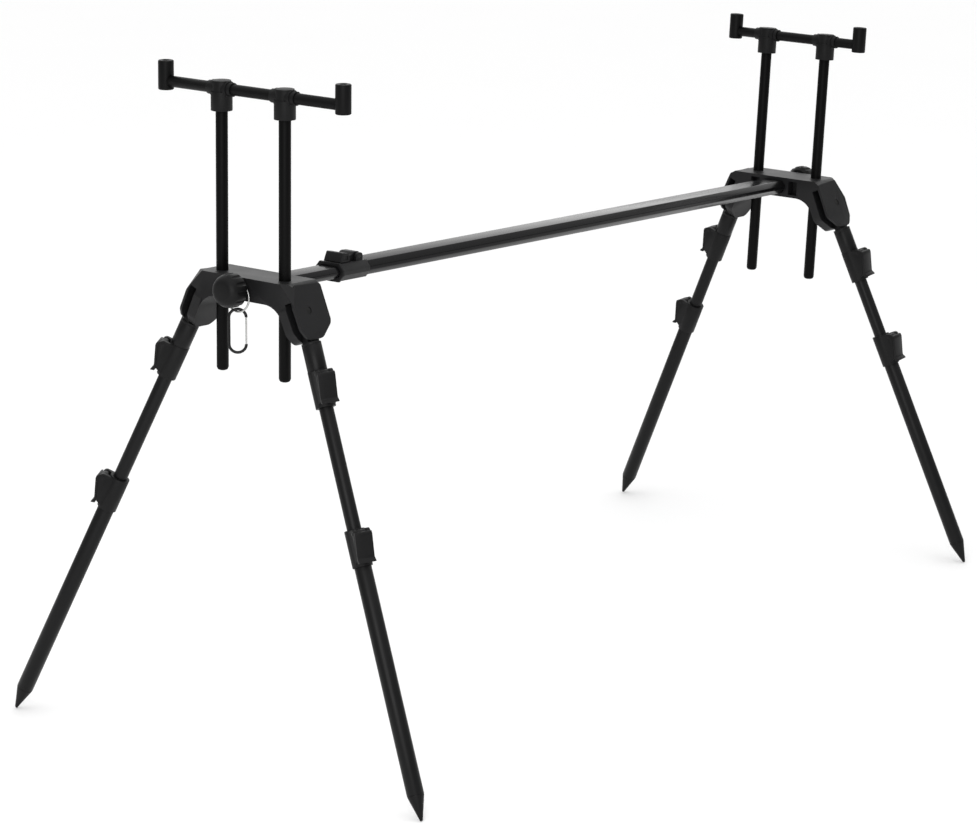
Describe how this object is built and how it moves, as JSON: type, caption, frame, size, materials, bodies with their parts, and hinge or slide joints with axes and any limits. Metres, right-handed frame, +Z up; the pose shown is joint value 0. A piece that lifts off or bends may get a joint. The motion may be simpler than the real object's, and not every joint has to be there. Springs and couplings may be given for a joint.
{
  "type": "rod pod",
  "caption": "Fishing rod pod: a telescopic bar joining moulded heads with folding telescopic spiked legs and height-adjustable goalposts that carry threaded rod-rest sockets.",
  "frame": {"origin": "on the ground, below the centre of the bounding box", "axes": "+X from the front end to the rear end along the bar, +Y to the pod's right, +Z up"},
  "size_m": [1.2258, 0.6012, 0.7667],
  "materials": {
    "moulded": "satin",
    "anodised_tube": "satin",
    "steel": "polished",
    "coated_wire": "satin"
  },
  "bodies": {
    "rear_frame": {"rear_head": "moulded", "rear_pivot_pins": "steel", "outer_tube": "anodised_tube", "bar_clamp": "moulded", "bar_lever_pin": "steel"},
    "front_frame": {"front_head": "moulded", "front_pivot_pins": "steel", "inner_tube": "anodised_tube"},
    "bar_lever": {"bar_lever": "moulded"},
    "front_goalpost": {"front_posts": "anodised_tube", "front_post_sleeves": "moulded", "front_crossbar": "anodised_tube", "front_rest_sockets": "anodised_tube"},
    "front_knob": {"front_knob": "moulded"},
    "rear_goalpost": {"rear_posts": "anodised_tube", "rear_post_sleeves": "moulded", "rear_crossbar": "anodised_tube", "rear_rest_sockets": "anodised_tube"},
    "rear_knob": {"rear_knob": "moulded"},
    "front_left_leg_top": {"front_left_knuckle": "moulded", "front_left_upper_tube": "anodised_tube", "front_left_upper_lock": "moulded"},
    "front_left_leg_middle": {"front_left_middle_tube": "anodised_tube"},
    "front_left_leg_bottom": {"front_left_lower_tube": "anodised_tube", "front_left_lower_lock": "moulded", "front_left_spike": "moulded"},
    "front_left_upper_lever": {"front_left_upper_lever": "moulded"},
    "front_left_lower_lever": {"front_left_lower_lever": "moulded"},
    "front_right_leg_top": {"front_right_knuckle": "moulded", "front_right_upper_tube": "anodised_tube", "front_right_upper_lock": "moulded"},
    "front_right_leg_middle": {"front_right_middle_tube": "anodised_tube"},
    "front_right_leg_bottom": {"front_right_lower_tube": "anodised_tube", "front_right_lower_lock": "moulded", "front_right_spike": "moulded"},
    "front_right_upper_lever": {"front_right_upper_lever": "moulded"},
    "front_right_lower_lever": {"front_right_lower_lever": "moulded"},
    "rear_left_leg_top": {"rear_left_knuckle": "moulded", "rear_left_upper_tube": "anodised_tube", "rear_left_upper_lock": "moulded"},
    "rear_left_leg_middle": {"rear_left_middle_tube": "anodised_tube"},
    "rear_left_leg_bottom": {"rear_left_lower_tube": "anodised_tube", "rear_left_lower_lock": "moulded", "rear_left_spike": "moulded"},
    "rear_left_upper_lever": {"rear_left_upper_lever": "moulded"},
    "rear_left_lower_lever": {"rear_left_lower_lever": "moulded"},
    "rear_right_leg_top": {"rear_right_knuckle": "moulded", "rear_right_upper_tube": "anodised_tube", "rear_right_upper_lock": "moulded"},
    "rear_right_leg_middle": {"rear_right_middle_tube": "anodised_tube"},
    "rear_right_leg_bottom": {"rear_right_lower_tube": "anodised_tube", "rear_right_lower_lock": "moulded", "rear_right_spike": "moulded"},
    "rear_right_upper_lever": {"rear_right_upper_lever": "moulded"},
    "rear_right_lower_lever": {"rear_right_lower_lever": "moulded"},
    "ring": {"ring": "steel"},
    "hook": {"snap_hook": "coated_wire"},
    "gate": {"snap_gate": "steel"}
  },
  "joints": [
    {"name": "bar_extend", "type": "slide", "parent": "rear_frame", "child": "front_frame", "axis": [-0.999, 0, 0.0453], "range_m": [-0.094, 0.27]},
    {"name": "bar_lever_flip", "type": "hinge", "parent": "rear_frame", "child": "bar_lever", "pos_m": [-0.35665, 0, 0.53713], "axis": [0, 1, 0], "range_deg": [0, 95]},
    {"name": "front_goalpost_height", "type": "slide", "parent": "front_frame", "child": "front_goalpost", "axis": [0.0104, 0, 0.9999], "range_m": [-0.17, 0.08]},
    {"name": "front_knob_turn", "type": "hinge", "parent": "front_frame", "child": "front_knob", "pos_m": [-0.52635, 0, 0.52986], "axis": [-0.999, 0, 0.0453], "range_deg": [0, 540]},
    {"name": "rear_goalpost_height", "type": "slide", "parent": "rear_frame", "child": "rear_goalpost", "axis": [0.0801, 0, 0.9968], "range_m": [-0.15, 0.1]},
    {"name": "rear_knob_turn", "type": "hinge", "parent": "rear_frame", "child": "rear_knob", "pos_m": [0.55853, 0, 0.48065], "axis": [0.999, 0, -0.0453], "range_deg": [0, 540]},
    {"name": "front_left_leg_fold", "type": "hinge", "parent": "front_frame", "child": "front_left_leg_top", "pos_m": [-0.52719, -0.0726, 0.51138], "axis": [0.0183, -0.915, 0.4031], "range_deg": [0, 95.8]},
    {"name": "front_left_upper_slide", "type": "slide", "parent": "front_left_leg_top", "child": "front_left_leg_middle", "axis": [-0.1422, -0.4015, -0.9048], "range_m": [0, 0.025]},
    {"name": "front_left_lower_slide", "type": "slide", "parent": "front_left_leg_middle", "child": "front_left_leg_bottom", "axis": [0.1422, 0.4015, 0.9048], "range_m": [-0.045, 0.128]},
    {"name": "front_left_upper_lever_flip", "type": "hinge", "parent": "front_left_leg_top", "child": "front_left_upper_lever", "pos_m": [-0.54488, -0.11472, 0.4525], "axis": [-0.8824, 0.4656, -0.0679], "range_deg": [0, 90]},
    {"name": "front_left_lower_lever_flip", "type": "hinge", "parent": "front_left_leg_bottom", "child": "front_left_lower_lever", "pos_m": [-0.57012, -0.18599, 0.2919], "axis": [-0.8824, 0.4656, -0.0679], "range_deg": [0, 90]},
    {"name": "front_right_leg_fold", "type": "hinge", "parent": "front_frame", "child": "front_right_leg_top", "pos_m": [-0.52719, 0.0726, 0.51138], "axis": [-0.0183, -0.915, -0.4031], "range_deg": [0, 95.8]},
    {"name": "front_right_upper_slide", "type": "slide", "parent": "front_right_leg_top", "child": "front_right_leg_middle", "axis": [-0.1422, 0.4015, -0.9048], "range_m": [0, 0.025]},
    {"name": "front_right_lower_slide", "type": "slide", "parent": "front_right_leg_middle", "child": "front_right_leg_bottom", "axis": [0.1422, -0.4015, 0.9048], "range_m": [-0.045, 0.128]},
    {"name": "front_right_upper_lever_flip", "type": "hinge", "parent": "front_right_leg_top", "child": "front_right_upper_lever", "pos_m": [-0.54488, 0.11472, 0.4525], "axis": [0.8824, 0.4656, 0.0679], "range_deg": [0, 90]},
    {"name": "front_right_lower_lever_flip", "type": "hinge", "parent": "front_right_leg_bottom", "child": "front_right_lower_lever", "pos_m": [-0.57012, 0.18599, 0.2919], "axis": [0.8824, 0.4656, 0.0679], "range_deg": [0, 90]},
    {"name": "rear_left_leg_fold", "type": "hinge", "parent": "rear_frame", "child": "rear_left_leg_top", "pos_m": [0.55769, -0.0726, 0.46217], "axis": [-0.0183, 0.915, -0.4031], "range_deg": [0, 95.8]},
    {"name": "rear_left_upper_slide", "type": "slide", "parent": "rear_left_leg_top", "child": "rear_left_leg_middle", "axis": [0.0597, -0.4015, -0.9139], "range_m": [0, 0.025]},
    {"name": "rear_left_lower_slide", "type": "slide", "parent": "rear_left_leg_middle", "child": "rear_left_leg_bottom", "axis": [-0.0597, 0.4015, 0.9139], "range_m": [-0.105, 0.068]},
    {"name": "rear_left_upper_lever_flip", "type": "hinge", "parent": "rear_left_leg_top", "child": "rear_left_upper_lever", "pos_m": [0.56233, -0.11679, 0.40234], "axis": [-0.998, -0.0408, -0.0473], "range_deg": [0, 90]},
    {"name": "rear_left_lower_lever_flip", "type": "hinge", "parent": "rear_left_leg_bottom", "child": "rear_left_lower_lever", "pos_m": [0.56938, -0.16417, 0.2945], "axis": [-0.998, -0.0408, -0.0473], "range_deg": [0, 90]},
    {"name": "rear_right_leg_fold", "type": "hinge", "parent": "rear_frame", "child": "rear_right_leg_top", "pos_m": [0.55769, 0.0726, 0.46217], "axis": [0.0183, 0.915, 0.4031], "range_deg": [0, 95.8]},
    {"name": "rear_right_upper_slide", "type": "slide", "parent": "rear_right_leg_top", "child": "rear_right_leg_middle", "axis": [0.0597, 0.4015, -0.9139], "range_m": [0, 0.025]},
    {"name": "rear_right_lower_slide", "type": "slide", "parent": "rear_right_leg_middle", "child": "rear_right_leg_bottom", "axis": [-0.0597, -0.4015, 0.9139], "range_m": [-0.105, 0.068]},
    {"name": "rear_right_upper_lever_flip", "type": "hinge", "parent": "rear_right_leg_top", "child": "rear_right_upper_lever", "pos_m": [0.56233, 0.11679, 0.40234], "axis": [0.998, -0.0408, 0.0473], "range_deg": [0, 90]},
    {"name": "rear_right_lower_lever_flip", "type": "hinge", "parent": "rear_right_leg_bottom", "child": "rear_right_lower_lever", "pos_m": [0.56938, 0.16417, 0.2945], "axis": [0.998, -0.0408, 0.0473], "range_deg": [0, 90]},
    {"name": "ring_swing", "type": "hinge", "parent": "front_frame", "child": "ring", "pos_m": [-0.55233, 0, 0.53104], "axis": [0.999, 0, -0.0453], "range_deg": [-35, 35]},
    {"name": "hook_swing", "type": "hinge", "parent": "ring", "child": "hook", "pos_m": [-0.55346, 0, 0.50596], "axis": [0, 1, 0], "range_deg": [-8, 25]},
    {"name": "gate_open", "type": "hinge", "parent": "hook", "child": "gate", "pos_m": [-0.54742, -0.0072, 0.47106], "axis": [-0.766, -0.6428, 0], "range_deg": [0, 20], "stiffness_Nm_per_rad": 0.004, "springref_deg": -17.19}
  ]
}
